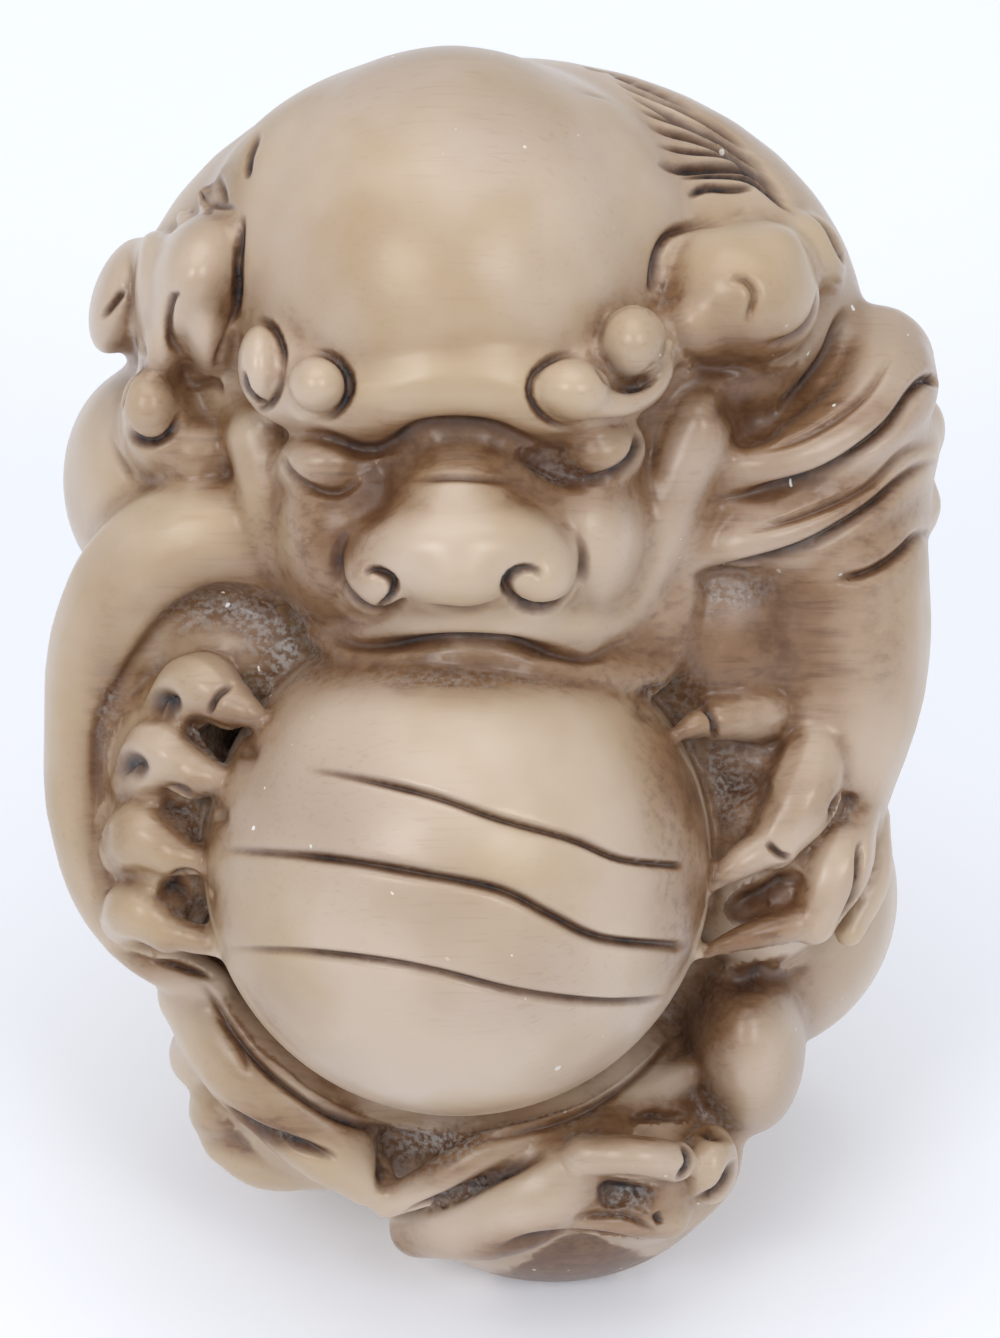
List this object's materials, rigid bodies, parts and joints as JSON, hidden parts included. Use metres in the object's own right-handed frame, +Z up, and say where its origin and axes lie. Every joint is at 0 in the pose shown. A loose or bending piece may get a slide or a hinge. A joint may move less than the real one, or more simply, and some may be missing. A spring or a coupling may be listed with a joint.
{
  "type": "foo dog figurine",
  "caption": "Small carved foo dog that sits with its head bowed over a grooved ball it hugs, cast in one piece with a flat seat to stand on.",
  "frame": {"origin": "on the flat underside, straight below the middle of the figure's front view", "axes": "+Z up, the face towards -Y, +X to the viewer's right"},
  "size_m": [0.036, 0.0347, 0.0485],
  "materials": {
    "cream_resin": "polished cream resin with brown and black stain rubbed into the recesses"
  },
  "bodies": {
    "root": {"foo_dog": "cream_resin"}
  },
  "joints": []
}
